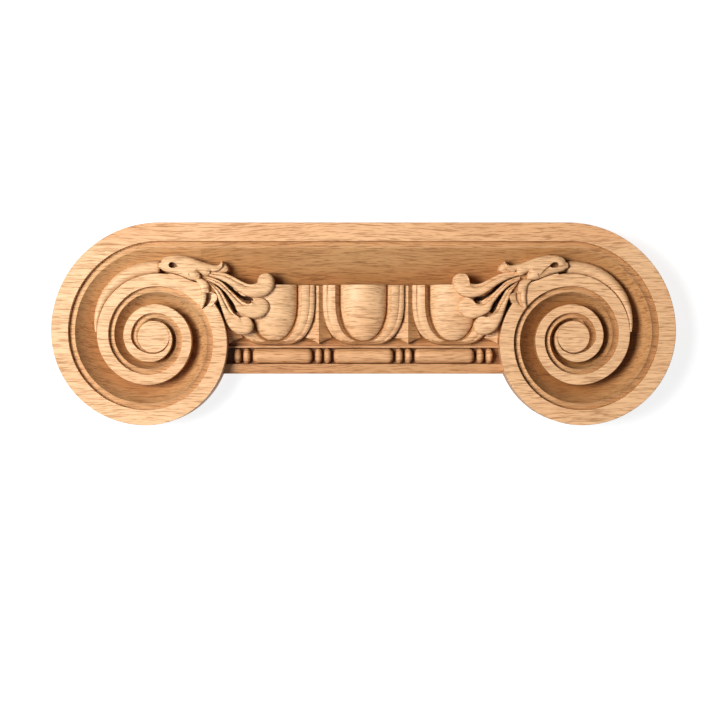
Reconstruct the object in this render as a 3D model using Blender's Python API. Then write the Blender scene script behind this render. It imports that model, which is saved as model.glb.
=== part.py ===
"""Ionic pilaster capital, carved in the flat from one board of oak.

The back is the plane Y = 0 and the carving faces -Y. X runs along the width from
the middle, and Z runs up from mid-height. Everything is in metres.
"""
import math

import bmesh
import bpy
from mathutils import Vector

# overall sizes
HALF_WIDTH = 0.150          # middle of the capital to the outer side of a volute
VOLUTE_HEIGHT = 0.0974      # top edge to the lowest point of a volute
BAND_FACE = 0.022           # back to the flat faces of the volute bands
BOARD_FOOT = -0.0240        # level of the straight underside between the volutes

# volute: quarter arcs, each smaller than the last by a ratio that eases inwards
FIRST_RATIO = 0.870
LAST_RATIO = 0.841
RATIO_EASE = 0.80
TURNS = 3
BAND_WIDTH = 0.0090         # flat band at the top of the outer turn
BAND_TAPER = 0.905          # share kept from one quarter to the next
STRIP_WIDTH = 0.0033        # small moulding inside the band
STRIP_TAPER = 0.965
STRIP_DEPTH = 0.0015        # step from the band down to that moulding
STRIP_GROOVE = 0.0004
STRIP_RISE = 0.65           # share of that step regained at the channel's edge
CHANNEL_DEPTH = 0.0120      # band face down to the foot of the winding channel
CHANNEL_TAPER = 0.93
CANALIS_DEPTH = 0.0125      # band face down to the straight channel's floor at the eggs
CHANNEL_HOLLOW = 0.22       # how far below a straight slope the middle of the channel lies
CHANNEL_END = 0.4           # quarters over which the channel runs out at the eye
STRAIGHT_OVERLAP = 0.0015   # how far the straight channel runs on below the eggs' cut

# echinus: the row of eggs, shells and darts
EGG_TOP = 0.0189            # level at which the whole row is cut flat
EGG_FOOT = -0.0081
EGG_HALF_WIDTH = 0.0112
EGG_STRAIGHT = 0.0080       # length of the straight sides below the cut
EGG_PITCH = 0.0432
EGG_CREST = 0.0205          # back to the highest line of an egg
EGG_FALL = 0.0030           # how far that line recedes towards the foot
EGG_EDGE = 0.0140           # back to the edge of an egg
SHELL_WIDTH = 0.0083
SHELL_FOOT = -0.0098
SHELL_CREST = 0.0182
SHELL_FALL = 0.0040
SHELL_LIP = 0.0024          # width of the slope from a shell's crest down to the egg
SHELL_RIB = 0.0058          # egg to the outer side of the shell's broad rib
SHELL_LINE = 0.0006         # cut line between the broad rib and the narrow one
SHELL_TUCK = 0.0004         # how far a shell starts below the egg's edge
SHELL_TILT = 0.0010         # fall of a shell from its crest to its outer edge
DART_TIP = -0.0097
DART_BARB = -0.0066
DART_RIDGE = 0.0165
DART_NECK = 0.0025          # half width where the shells are closest
DART_SPREAD = 0.0062        # half width at the barbs
DART_SLOPE = 0.0022         # ridge down to the edges
DART_FALL = 0.0015          # fall of the ridge down to the barbs
DART_TIP_FALL = 0.0010      # and on to the tip
CUT_STEP = 0.0002           # keeps the flat tops of neighbours in separate planes

# board behind the echinus, and the mouldings under it
GROUND_FACE = 0.0125
COVE_TOP = -0.0062
COVE_FACE = 0.0092
FILLET_TOP = -0.0107
FILLET_FACE = 0.0122
ASTRAGAL_TOP = -0.0118
ASTRAGAL_FOOT = -0.0190
ASTRAGAL_FACE = 0.0075
LOWER_FACE = 0.0125
LOWER_FALL = 0.0010
BEAD_RADIUS = 0.0034
BEAD_STAND = 0.0096         # back to the axis of the beads
BEAD_PITCH = 0.0392
BEAD_LENGTH = 0.0292
BEAD_ROUNDING = 0.0022      # length of a long bead's rounded end
REEL_SPACING = 0.0043
REEL_LENGTH = 0.0035

# spray: stem, husk, leaves and tendrils, drawn as shares of its own size
SPRAY_SIZE = 0.048
STEM_RADIUS = 0.0026
STEM_GAP = 0.0003           # line between the stem and the second turn
STEM_START = 4.98           # quarters from the top at which the stem's tail begins
STEM_CREST = 0.0216
COLLAR_OFFSET = 0.0018      # collar beyond the top of the second turn, towards the middle
VALLEY_DEPTH = 0.0012       # line cut along a tendril
CARVING_ROOT = 0.0060       # level inside the board where the carved forms begin
ROOT_STEP = 0.0001          # keeps the buried undersides of neighbours apart

# fineness of the facets
ARC_STEPS = 9
BLADE_STEPS = 2
EGG_STEPS = 8
BEAD_SIDES = 8
SMOOTH_ANGLE = math.radians(38)

QUARTERS = 4 * TURNS
TOP = VOLUTE_HEIGHT / 2
OAK = (0.73, 0.46, 0.25, 1.0)


def material(name, colour, roughness):
    """Plain finished timber."""
    mat = bpy.data.materials.new(name)
    mat.use_nodes = True
    shader = mat.node_tree.nodes["Principled BSDF"]
    shader.inputs["Base Color"].default_value = colour
    shader.inputs["Roughness"].default_value = roughness
    shader.inputs["Metallic"].default_value = 0.0
    return mat


def solid(name, bm):
    """Turn a closed bmesh, drawn as (x, height over the back, z), into an object."""
    bmesh.ops.remove_doubles(bm, verts=bm.verts, dist=1e-6)
    bmesh.ops.dissolve_degenerate(bm, edges=bm.edges, dist=1e-6)
    for vert in bm.verts:
        vert.co.y = -vert.co.y
    bm.normal_update()
    bmesh.ops.recalc_face_normals(bm, faces=bm.faces)
    mesh = bpy.data.meshes.new(name)
    bm.to_mesh(mesh)
    bm.free()
    mesh.shade_smooth()
    mesh.set_sharp_from_angle(angle=SMOOTH_ANGLE)
    obj = bpy.data.objects.new(name, mesh)
    bpy.context.scene.collection.objects.link(obj)
    return obj


def spiral_arcs():
    """Centre and radius of every quarter arc of the right volute, outermost first."""
    radius = VOLUTE_HEIGHT / (1 + FIRST_RATIO)
    centre = Vector((HALF_WIDTH - radius, TOP - radius))
    arcs = []
    for quarter in range(QUARTERS + 1):
        arcs.append((centre.copy(), radius))
        ratio = LAST_RATIO + (FIRST_RATIO - LAST_RATIO) * RATIO_EASE ** quarter
        end = -quarter * math.pi / 2
        centre += radius * (1 - ratio) * Vector((math.cos(end), math.sin(end)))
        radius *= ratio
    return arcs


ARCS = spiral_arcs()


def on_spiral(turned):
    """Point of the band's outer edge after that many quarters from the top."""
    centre, radius = ARCS[min(int(turned), QUARTERS)]
    angle = (1 - turned) * math.pi / 2
    return centre + radius * Vector((math.cos(angle), math.sin(angle)))


def on_eye(turned):
    """Point of the eye's rim in the same direction."""
    centre, radius = ARCS[QUARTERS]
    angle = (1 - turned) * math.pi / 2
    return centre + radius * Vector((math.cos(angle), math.sin(angle)))


def canalis_slope():
    """Fall of the straight channel's floor for each unit of the way down to the eggs."""
    across, height = band_section(0, TOP)[-1]
    return (height - BAND_FACE + CANALIS_DEPTH) / (TOP - EGG_TOP - across)


def channel_foot(turned):
    """Height of the channel's foot over the back, also where it leaves the straight part."""
    depth = CHANNEL_DEPTH * CHANNEL_TAPER ** turned
    if turned < 1:
        across, height = band_section(0, TOP)[-1]
        start = BAND_FACE - height + canalis_slope() * (TOP - on_spiral(4).y - across)
        depth = start + (depth - start) * turned * turned * (3 - 2 * turned)
    left = 1 - (turned - (QUARTERS - 4)) / CHANNEL_END
    return BAND_FACE - depth * min(max(left, 0.0), 1.0)


def band_section(turned, width):
    """Distance from the outer edge and height of each line of the moulding."""
    band = min(BAND_WIDTH * BAND_TAPER ** turned, 0.8 * width)
    strip = min(STRIP_WIDTH * STRIP_TAPER ** turned, 0.9 * (width - band))
    groove = min(STRIP_GROOVE, 0.3 * strip)
    fade = min(max((QUARTERS - 1 - turned) / 2, 0.0), 1.0)
    return [(0.0, BAND_FACE), (band, BAND_FACE),
            (band + groove, BAND_FACE - STRIP_DEPTH * fade),
            (band + strip, BAND_FACE - (1 - STRIP_RISE) * STRIP_DEPTH * fade)]


def volutes_and_canalis():
    """Both volutes and the straight channel between them, as one closed skin."""
    bm = bmesh.new()
    last = QUARTERS * ARC_STEPS
    turn = 4 * ARC_STEPS
    lean = on_spiral(0).x - on_spiral(4).x

    # straight columns stand over the second turn until it has dropped below the eggs' cut
    middle = -1 - steps_over_the_turn()
    columns = {}
    for step in range(middle + 1, 0):
        below = on_spiral(4 + step / ARC_STEPS)
        columns[step] = straight_column(bm, below.x + lean, below.x, below.y)
    columns[middle] = straight_column(bm, 0, 0, columns[middle + 1][5].co.z)
    for step in range(last + 1):
        turned = step / ARC_STEPS
        inner = on_eye(turned) if turned >= QUARTERS - 4 else on_spiral(turned + 4)
        columns[step] = winding_column(bm, turned, on_spiral(turned), inner)

    for step in range(middle, last):
        here, there = columns[step], columns[step + 1]
        for row in range(5):
            add_face(bm, here[row], there[row], there[row + 1], here[row + 1])

    # walls of the inner turns, from each band down to the channel outside it
    for step in range(turn + middle + 1, last):
        add_face(bm, columns[step][0], columns[step + 1][0],
                 columns[step + 1 - turn][5], columns[step - turn][5])

    # eye, and the wall round it
    centre = bm.verts.new((ARCS[QUARTERS][0].x, BAND_FACE, ARCS[QUARTERS][0].y))
    rim = {}
    for step in range(last - turn, last + 1):
        point = on_eye(step / ARC_STEPS)
        rim[step] = bm.verts.new((point.x, BAND_FACE, point.y))
    for step in range(last - turn, last):
        add_face(bm, rim[step], rim[step + 1], columns[step + 1][5], columns[step][5])
        add_face(bm, centre, rim[step], rim[step + 1])

    # outer side, straight foot and back
    outline = [columns[step][0] for step in range(middle, turn + middle + 2)]
    foot = [columns[middle + 1][5], columns[middle][5]]
    backs = [bm.verts.new((vert.co.x, 0, vert.co.z)) for vert in outline]
    corner = bm.verts.new((0, 0, foot[1].co.z))
    for k in range(len(outline) - 2):
        add_face(bm, outline[k], outline[k + 1], backs[k + 1], backs[k])
    add_face(bm, outline[-2], outline[-1], foot[0], backs[-1], backs[-2])
    add_face(bm, foot[0], foot[1], corner, backs[-1])
    add_face(bm, *backs, corner)

    bmesh.ops.remove_doubles(bm, verts=bm.verts, dist=1e-6)
    geometry = bm.verts[:] + bm.edges[:] + bm.faces[:]
    bmesh.ops.mirror(bm, geom=geometry, axis="X", merge_dist=1e-6)
    return solid("volutes", bm)


def steps_over_the_turn():
    """Straight columns that end on the second turn, before it drops behind the eggs."""
    steps = 1
    while on_spiral(4 - steps / ARC_STEPS).y > EGG_TOP - STRAIGHT_OVERLAP:
        steps += 1
    return steps


def winding_column(bm, turned, outer, inner):
    """One column of the winding channel, from the band's outer edge to the next turn."""
    width = (inner - outer).length
    if width < 1e-6:
        return [bm.verts.new((outer.x, BAND_FACE, outer.y))] * 6
    section = band_section(turned, width)
    across, height = section[-1]
    foot = channel_foot(turned)
    hollow = CHANNEL_HOLLOW * min(turned, 1.0)
    section.append(((across + width) / 2, height + (foot - height) * (0.5 + hollow)))
    section.append((width, foot))
    column = []
    for distance, level in section:
        point = outer + (inner - outer) * distance / width
        column.append(bm.verts.new((point.x, level, point.y)))
    return column


def straight_column(bm, above, below, level):
    """One column of the straight channel, from the top edge down to a level."""
    drop = TOP - level
    section = band_section(0, TOP)
    across, height = section[-1]
    fall = canalis_slope() * (drop - across)
    section += [((across + drop) / 2, height - fall / 2), (drop, height - fall)]
    return [bm.verts.new((above + (below - above) * d / drop, h, TOP - d)) for d, h in section]


def add_face(bm, *verts):
    """Add a face from its distinct corners, and leave it out where it has no area."""
    corners = []
    for vert in verts:
        if vert not in corners:
            corners.append(vert)
    if len(corners) > 2:
        bm.faces.new(corners)


def loft(name, rings):
    """Closed solid through rings of equally many points, capped at both ends."""
    bm = bmesh.new()
    loops = [[bm.verts.new(point) for point in ring] for ring in rings]
    for here, there in zip(loops, loops[1:]):
        count = len(here)
        for k in range(count):
            add_face(bm, here[k], here[(k + 1) % count], there[(k + 1) % count], there[k])
    bm.faces.new(loops[0])
    bm.faces.new(loops[-1])
    return solid(name, bm)


def board():
    """Ground of the echinus with the cove, fillets and astragal bed below it."""
    reach = on_spiral(4 - steps_over_the_turn() / ARC_STEPS).x + 0.2 * BAND_WIDTH
    profile = [(0, EGG_TOP - 4 * CUT_STEP), (GROUND_FACE, EGG_TOP - 4 * CUT_STEP),
               (GROUND_FACE, COVE_TOP), (COVE_FACE, (COVE_TOP + 2 * FILLET_TOP) / 3),
               (COVE_FACE, FILLET_TOP), (FILLET_FACE, FILLET_TOP),
               (FILLET_FACE, ASTRAGAL_TOP), (ASTRAGAL_FACE, ASTRAGAL_TOP),
               (ASTRAGAL_FACE, ASTRAGAL_FOOT), (LOWER_FACE, ASTRAGAL_FOOT),
               (LOWER_FACE - LOWER_FALL, BOARD_FOOT), (0, BOARD_FOOT)]
    return loft("board", [[(x, h, z) for h, z in profile] for x in (-reach, reach)])


def egg_edge(share):
    """Half width and level of an egg's outline, from its cut at 0 to its foot at 1."""
    straight = 0.25
    if share < straight:
        return EGG_HALF_WIDTH, EGG_TOP - EGG_STRAIGHT * share / straight
    angle = (share - straight) / (1 - straight) * math.pi / 2
    drop = EGG_TOP - EGG_STRAIGHT - EGG_FOOT
    full = 2 / 2.2
    return (EGG_HALF_WIDTH * max(math.cos(angle), 0.0) ** full,
            EGG_TOP - EGG_STRAIGHT - drop * math.sin(angle) ** full)


def egg(middle):
    """Rounded egg, cut flat at the top and closed at the foot."""
    rings = []
    for step in range(EGG_STEPS):
        half, level = egg_edge(step / EGG_STEPS)
        fall = (EGG_TOP - level) / (EGG_TOP - EGG_FOOT)
        crest = EGG_CREST - EGG_FALL * fall ** 2
        rise = (crest - EGG_EDGE) * (half / EGG_HALF_WIDTH) ** 0.7
        ring = [(middle - half, CARVING_ROOT, level)]
        for k in range(EGG_STEPS + 1):
            angle = math.pi * k / EGG_STEPS
            ring.append((middle - half * math.cos(angle),
                         EGG_EDGE + rise * math.sin(angle), level))
        ring.append((middle + half, CARVING_ROOT, level))
        rings.append(ring)
    rings.append([(middle, CARVING_ROOT, EGG_FOOT), (middle, EGG_EDGE, EGG_FOOT)]
                 + [(middle, EGG_EDGE, EGG_FOOT)] * (EGG_STEPS + 1))
    return loft("egg", rings)


def shell(middle):
    """U-shaped husk round an egg: a slope up from the egg, a rib, a line and a lip."""
    shares = [k / EGG_STEPS for k in range(EGG_STEPS + 1)]
    path = [(-1, share) for share in shares] + [(1, share) for share in shares[-2::-1]]
    top = EGG_TOP - CUT_STEP
    rings = []
    for sign, share in path:
        half, level = egg_edge(share)
        ahead, behind = egg_edge(min(share + 0.01, 1)), egg_edge(max(share - 0.01, 0))
        normal = Vector((behind[1] - ahead[1], ahead[0] - behind[0])).normalized()
        if share == 1:
            normal = Vector((0, -1))
        room = (level - SHELL_FOOT) / max(-normal.y, 1e-6)
        reach = min(SHELL_WIDTH, room)
        squeeze = reach / SHELL_WIDTH
        fall = (EGG_TOP - level) / (EGG_TOP - EGG_FOOT)
        crest = SHELL_CREST - SHELL_FALL * fall ** 2
        line = SHELL_LINE * max(1 - 1.6 * fall, 0.0)
        edge = EGG_EDGE - SHELL_TUCK
        section = [(-SHELL_LINE, CARVING_ROOT), (-SHELL_LINE, edge), (0.0, edge),
                   (SHELL_LIP * squeeze, crest)]
        for across, dip in ((SHELL_RIB, 0.0), (SHELL_RIB + SHELL_LINE / 2, line),
                            (SHELL_RIB + SHELL_LINE, 0.0), (SHELL_WIDTH, 0.0)):
            tilt = SHELL_TILT * (across - SHELL_LIP) / (SHELL_WIDTH - SHELL_LIP)
            section.append((across * squeeze, crest - tilt - dip))
        section.append((reach, CARVING_ROOT))
        ring = []
        for distance, height in section:
            x = half + normal.x * distance
            z = level + normal.y * distance
            ring.append((middle + sign * x, height, min(z, top)))
        rings.append(ring)
    return loft("shell", rings)


def dart(middle):
    """Arrow between two shells: a ridge that spreads to barbs over a pointed tip."""
    top = EGG_TOP - 2 * CUT_STEP
    levels = [top, EGG_TOP * 0.5, 0.0, DART_BARB * 0.45, DART_BARB * 0.8, DART_BARB]
    rings = []
    for level in levels:
        share = (top - level) / (top - DART_BARB)
        half = DART_NECK + (DART_SPREAD - DART_NECK) * share ** 4
        rings.append(dart_ring(middle, level, half, DART_RIDGE - DART_FALL * share))
    for share in (0.25, 0.55, 0.95):
        level = DART_BARB + (DART_TIP - DART_BARB) * share
        half = DART_SPREAD * (1 - share) ** 1.6
        ridge = DART_RIDGE - DART_FALL - DART_TIP_FALL * share
        rings.append(dart_ring(middle, level, half, ridge))
    return loft("dart", rings)


def dart_ring(middle, level, half, ridge):
    """Level section of a dart, steepest near the tip, where it is narrow."""
    edge = ridge - min(DART_SLOPE, half * 0.8)
    root = CARVING_ROOT - 2 * ROOT_STEP
    return [(middle - half, root, level), (middle - half, edge, level),
            (middle, ridge, level), (middle + half, edge, level), (middle + half, root, level)]


def turned_bead(name, middle, length, end):
    """Bead or reel turned about a level axis; end is the length of its rounded ends."""
    axis = (ASTRAGAL_TOP + ASTRAGAL_FOOT) / 2
    stations = []
    for k in range(4):
        angle = math.pi / 2 * k / 3
        stations.append((-length / 2 + end * (1 - math.cos(angle)),
                         BEAD_RADIUS * (0.35 + 0.65 * math.sin(angle))))
    stations += [(-x, radius) for x, radius in reversed(stations)]
    if length <= 2 * end:
        del stations[4]
    rings = []
    for x, radius in stations:
        rings.append([(middle + x, BEAD_STAND + radius * math.sin(angle),
                       axis + radius * math.cos(angle))
                      for angle in (math.tau * k / BEAD_SIDES for k in range(BEAD_SIDES))])
    return loft(name, rings)


def smooth_path(stations, steps):
    """Catmull-Rom curve through stations of equally many numbers."""
    count = len(stations)
    curve = []
    for k in range(count - 1):
        before, here = stations[max(k - 1, 0)], stations[k]
        there, after = stations[k + 1], stations[min(k + 2, count - 1)]
        for step in range(steps):
            t = step / steps
            curve.append([0.5 * (2 * b + (c - a) * t + (2 * a - 5 * b + 4 * c - d) * t * t
                                 + (3 * b - a - 3 * c + d) * t ** 3)
                          for a, b, c, d in zip(before, here, there, after)])
    curve.append(list(stations[-1]))
    return curve


def blade(name, side, stations, root, round_end=False, valley=0.0):
    """Carved limb along a curve.

    Each station is x, z, half width, crest height and edge height. A valley runs
    along the left of the limb, at its given depth, and dies out at a round end.
    """
    curve = smooth_path(stations, BLADE_STEPS)
    rings = []
    count = len(curve)
    tips = [(math.sin(angle), math.cos(angle))
            for angle in (math.radians(42), math.radians(82))]
    for k, (x, z, half, crest, edge) in enumerate(curve):
        ahead, behind = curve[min(k + 1, count - 1)], curve[max(k - 1, 0)]
        along = Vector((ahead[0] - behind[0], ahead[1] - behind[1])).normalized()
        dip = valley * (1 - (k / (count - 1)) ** 3)
        rings.append(blade_ring(side, Vector((x, z)), along, half, crest, edge, dip, root))
        if k == count - 1 and round_end:
            for forward, shrink in tips:
                place = Vector((x, z)) + along * half * forward
                top = edge + (crest - edge) * shrink
                rings.append(blade_ring(side, place, along, half * shrink, top, edge, 0, root))
    return loft(name, rings)


def blade_ring(side, place, along, half, crest, edge, dip, root):
    """Section across a limb, from its left edge to its right edge and back inside."""
    left = Vector((-along.y, along.x))
    rise = crest - edge
    section = [(1.0, edge), (0.72, edge + 0.62 * rise), (0.35, edge + 0.8 * rise - dip),
               (-0.25, crest), (-1.0, edge)]
    ring = [(1.0, root)] + section + [(-1.0, root)]
    points = []
    for share, height in ring:
        point = place + left * share * half
        points.append((side * point.x, height, point.y))
    return points


def stem(side, root):
    """Tapering stalk in the outer channel, lying along the second turn."""
    stations = []
    for k in range(9):
        share = k / 8
        point = on_spiral(STEM_START - (STEM_START - 4) * share)
        outward = (point - ARCS[4][0]).normalized()
        half = STEM_RADIUS * (0.15 + 0.85 * math.sin(math.pi / 2 * min(share * 1.25, 1.0)))
        place = point + outward * (half + STEM_GAP * share)
        stations.append((place.x, place.y, half, STEM_CREST, STEM_CREST - 0.8 * half))
    return blade("stem", side, stations, root)


def spray(side):
    """Husk with its leaves and three tendrils, growing out of the stem."""
    collar = on_spiral(4) + Vector((-COLLAR_OFFSET, STEM_RADIUS + STEM_GAP))

    def limb(name, shape, order, round_end=False, valley=0.0):
        stations = [(collar.x - u * SPRAY_SIZE, collar.y + v * SPRAY_SIZE, half * SPRAY_SIZE,
                     BAND_FACE + crest, BAND_FACE + edge) for u, v, half, crest, edge in shape]
        root = CARVING_ROOT - ROOT_STEP * order
        return blade(name, side, stations, root, round_end, valley)

    return [
        limb("collar", [(-0.025, 0.0, 0.038, 0.0000, -0.004), (0.03, 0.0, 0.038, 0.0, -0.004)], 1),
        limb("husk", [(0.0, 0.0, 0.044, 0.0004, -0.004), (0.05, 0.004, 0.062, 0.0016, -0.003),
                      (0.10, 0.012, 0.082, 0.0026, -0.002), (0.17, 0.0, 0.096, 0.0032, -0.001),
                      (0.25, -0.015, 0.108, 0.0034, 0.0), (0.32, -0.034, 0.104, 0.0032, 0.0),
                      (0.39, -0.040, 0.066, 0.0026, 0.0), (0.44, -0.042, 0.020, 0.0016, 0.0)], 2),
        limb("upper leaf", [(0.33, -0.010, 0.05, 0.0034, 0.001), (0.43, -0.018, 0.048, 0.0034, 0.001),
                            (0.50, -0.026, 0.038, 0.0032, 0.001), (0.56, -0.020, 0.030, 0.003, 0.001),
                            (0.60, 0.008, 0.018, 0.003, 0.001), (0.612, 0.046, 0.003, 0.002, 0.001)], 3),
        limb("rolled tip", [(0.60, -0.055, 0.030, 0.0005, -0.003), (0.63, -0.025, 0.042, 0.001, -0.003)],
             4, True),
        limb("side lobe", [(0.37, -0.042, 0.04, 0.003, 0.0), (0.43, -0.062, 0.033, 0.0028, 0.0),
                           (0.473, -0.084, 0.018, 0.0024, 0.0), (0.49, -0.1, 0.003, 0.001, 0.0)], 5),
        limb("hanging leaf", [(0.33, -0.09, 0.045, 0.0028, 0.0), (0.40, -0.15, 0.045, 0.003, 0.0),
                              (0.44, -0.21, 0.046, 0.003, 0.0), (0.455, -0.262, 0.026, 0.0022, 0.0)],
             6, True),
        limb("leaf tip", [(0.425, -0.24, 0.03, 0.0024, 0.0), (0.433, -0.30, 0.028, 0.0022, 0.0),
                          (0.428, -0.36, 0.020, 0.0018, 0.0), (0.414, -0.416, 0.003, 0.0008, 0.0)], 7),
        limb("back leaf", [(0.48, -0.25, 0.03, 0.0, -0.003), (0.507, -0.31, 0.033, 0.0004, -0.003),
                           (0.50, -0.37, 0.034, 0.0002, -0.003), (0.45, -0.42, 0.008, -0.001, -0.003)],
             8),
        limb("upper tendril", [(0.46, -0.08, 0.025, 0.0015, -0.001), (0.61, -0.107, 0.037, 0.0026, 0.0),
                               (0.69, -0.146, 0.046, 0.003, 0.0), (0.783, -0.203, 0.050, 0.0032, 0.0),
                               (0.865, -0.242, 0.061, 0.0034, 0.0), (0.953, -0.247, 0.069, 0.0036, 0.0),
                               (1.017, -0.222, 0.078, 0.0038, 0.0), (1.053, -0.157, 0.082, 0.004, 0.0)],
             9, True, VALLEY_DEPTH),
        limb("middle tendril", [(0.47, -0.13, 0.023, 0.001, -0.001), (0.578, -0.175, 0.027, 0.002, 0.0),
                                (0.663, -0.25, 0.034, 0.0024, 0.0), (0.74, -0.337, 0.045, 0.0027, 0.0),
                                (0.80, -0.407, 0.060, 0.003, 0.0), (0.88, -0.442, 0.077, 0.0032, 0.0),
                                (0.95, -0.440, 0.084, 0.0034, 0.0), (0.995, -0.412, 0.090, 0.0036, 0.0)],
             10, True, VALLEY_DEPTH),
        limb("lower tendril", [(0.50, -0.18, 0.018, 0.0005, -0.001), (0.575, -0.272, 0.024, 0.0014, 0.0),
                               (0.625, -0.372, 0.031, 0.002, 0.0), (0.67, -0.477, 0.042, 0.0024, 0.0),
                               (0.725, -0.557, 0.065, 0.0027, 0.0), (0.785, -0.597, 0.083, 0.003, 0.0),
                               (0.83, -0.602, 0.090, 0.0032, 0.0)], 11, True, VALLEY_DEPTH),
    ]


def carvings():
    """Every carved form that stands on the volutes and the board."""
    forms = [board()]
    for k in (-1, 0, 1):
        forms += [egg(k * EGG_PITCH), shell(k * EGG_PITCH)]
    for k in (-1.5, -0.5, 0.5, 1.5):
        forms.append(dart(k * EGG_PITCH))
        for reel in (-0.5, 0.5):
            forms.append(turned_bead("reel", k * BEAD_PITCH + reel * REEL_SPACING,
                                     REEL_LENGTH, REEL_LENGTH / 2))
    for k in (-1, 0, 1):
        forms.append(turned_bead("bead", k * BEAD_PITCH, BEAD_LENGTH, BEAD_ROUNDING))
    for side in (-1, 1):
        forms.append(stem(side, CARVING_ROOT))
        forms += spray(side)
    return forms


def build():
    """The capital: everything fused into one piece of wood."""
    for obj in list(bpy.data.objects):
        bpy.data.objects.remove(obj, do_unlink=True)
    capital = volutes_and_canalis()
    capital.name = "ionic_capital"
    capital.data.materials.append(material("oak, sanded", OAK, 0.6))
    parts = bpy.data.collections.new("carved forms")
    bpy.context.scene.collection.children.link(parts)
    for form in carvings():
        bpy.context.scene.collection.objects.unlink(form)
        parts.objects.link(form)
        form.hide_render = True
        form.display_type = "WIRE"
    union = capital.modifiers.new("carved forms", "BOOLEAN")
    union.operation = "UNION"
    union.operand_type = "COLLECTION"
    union.collection = parts
    union.solver = "EXACT"


build()
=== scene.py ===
import math

import bmesh
import bpy
import numpy as np
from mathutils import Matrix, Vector
from mathutils.geometry import delaunay_2d_cdt


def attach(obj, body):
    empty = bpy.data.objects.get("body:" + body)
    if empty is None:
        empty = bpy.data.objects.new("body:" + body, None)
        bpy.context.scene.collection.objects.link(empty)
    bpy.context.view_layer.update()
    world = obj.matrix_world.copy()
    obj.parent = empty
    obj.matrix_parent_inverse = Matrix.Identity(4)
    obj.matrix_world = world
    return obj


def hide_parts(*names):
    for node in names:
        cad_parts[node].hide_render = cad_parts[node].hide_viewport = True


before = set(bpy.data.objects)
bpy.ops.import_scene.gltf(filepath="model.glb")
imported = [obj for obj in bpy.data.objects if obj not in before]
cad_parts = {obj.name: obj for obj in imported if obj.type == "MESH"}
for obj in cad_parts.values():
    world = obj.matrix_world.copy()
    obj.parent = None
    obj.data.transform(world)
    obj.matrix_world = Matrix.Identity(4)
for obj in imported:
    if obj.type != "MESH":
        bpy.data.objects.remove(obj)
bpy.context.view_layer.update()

# Camera: square on to the capital from a metre away, a little below its middle.
VIEW_ANGLE = 19.5           # degrees
CAMERA_PLACE = (-0.00264, -1.022, -0.0164)
camera = bpy.data.objects.new("camera", bpy.data.cameras.new("camera"))
camera.data.angle = math.radians(VIEW_ANGLE)
camera.data.sensor_fit = "HORIZONTAL"
camera.location = CAMERA_PLACE
camera.rotation_euler = (math.pi / 2, 0, 0)
bpy.context.scene.collection.objects.link(camera)
bpy.context.scene.camera = camera


# Volutes and canalis: carved in the face of the oak board as a ribbon that runs from the
# middle along the straight channel and winds three turns inwards. Its section is a flat band
# with an eased arris, a step, a small hollow moulding and the channel, up to the next turn.
HALF_WIDTH = 0.150
VOLUTE_HEIGHT = 0.0974
TOP = VOLUTE_HEIGHT / 2
HEIGHT_IN_RADII = 1.870     # height of a volute over the radius of its first quarter arc
INNER_RATIO, OUTER_EXTRA, EXTRA_FADE = 0.841, 0.029, 0.8     # radius of each arc over the last
QUARTERS = 12
ARC_STEPS = 34
BAND_FACE = 0.022           # level over the back, like every face and crest below
EASE = 0.0002               # eased arris of the bands
BAND_WIDTH, BAND_TAPER = 0.0090, 0.905                       # tapers are for a quarter turn
STRIP_WIDTH, STRIP_TAPER = 0.0033, 0.965
STRIP_DEPTH, STRIP_RISE, STRIP_CURVE = 0.0031, 0.54, 1.7
STRIP_START = 0.06          # share of the strip's width that the step takes
STRIP_SHARES = (0, 0.2, 0.35, 0.55, 0.78, 1)
CHANNEL_DEPTH, CHANNEL_TAPER = 0.0120, 0.93
CHANNEL_HOLLOW, CHANNEL_END = 0.22, 0.4
CHANNEL_ROWS = 9
CANALIS_DEPTH = 0.0125
END_GROOVE = 0.0007         # width of the cut where the strip closes on the eye
EGG_TOP = 0.0189            # level at which the echinus is cut flat
OVERLAP = 0.0015            # how far the canalis runs down behind that cut
# amounts of painted shade: by the row of the step, in the canalis, and in the channels,
# where there is more towards the next turn's wall
STEP_SHADE = {3: 0.8, 4: 1.0, 5: 0.8, 6: 0.5, 7: 0.3, 8: 0.3}
CANALIS_SHADE, CHANNEL_SHADE, WALL_SHADE = 1.4, 0.9, 1.5
EVEN_SHADE, SHADE_DRIFT = 0.06, 12          # beyond this from the middle the painted shade changes
LIGHTEST_SHADE, DARKEST_SHADE = 0.75, 1.2


def solid(name, bm):
    """Turn a closed bmesh, drawn as (x, height over the back, z), into an object."""
    bmesh.ops.remove_doubles(bm, verts=bm.verts, dist=1e-7)
    for vert in bm.verts:
        vert.co.y = -vert.co.y
    bm.normal_update()
    bmesh.ops.recalc_face_normals(bm, faces=bm.faces)
    mesh = bpy.data.meshes.new(name)
    bm.to_mesh(mesh)
    bm.free()
    obj = bpy.data.objects.new(name, mesh)
    bpy.context.scene.collection.objects.link(obj)
    return obj


# a face may carry an amount of painted shade, which darkens its colour
def add_face(bm, *verts, glaze=None, shade_amount=1.0):
    """Add a face from its distinct corners, unless it has no area."""
    corners = []
    for vert in verts:
        if vert not in corners:
            corners.append(vert)
    if len(corners) > 2:
        face = bm.faces.new(corners)
        if glaze is not None:
            face[glaze] = shade_amount


def spiral_arcs():
    """Centre and radius of each quarter arc of the right volute, outermost first."""
    radius = VOLUTE_HEIGHT / HEIGHT_IN_RADII
    centre = Vector((HALF_WIDTH - radius, TOP - radius))
    arcs = []
    for quarter in range(QUARTERS + 1):
        arcs.append((centre.copy(), radius))
        ratio = INNER_RATIO + OUTER_EXTRA * EXTRA_FADE ** quarter
        end = -quarter * math.pi / 2
        centre += radius * (1 - ratio) * Vector((math.cos(end), math.sin(end)))
        radius *= ratio
    return arcs


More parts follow.
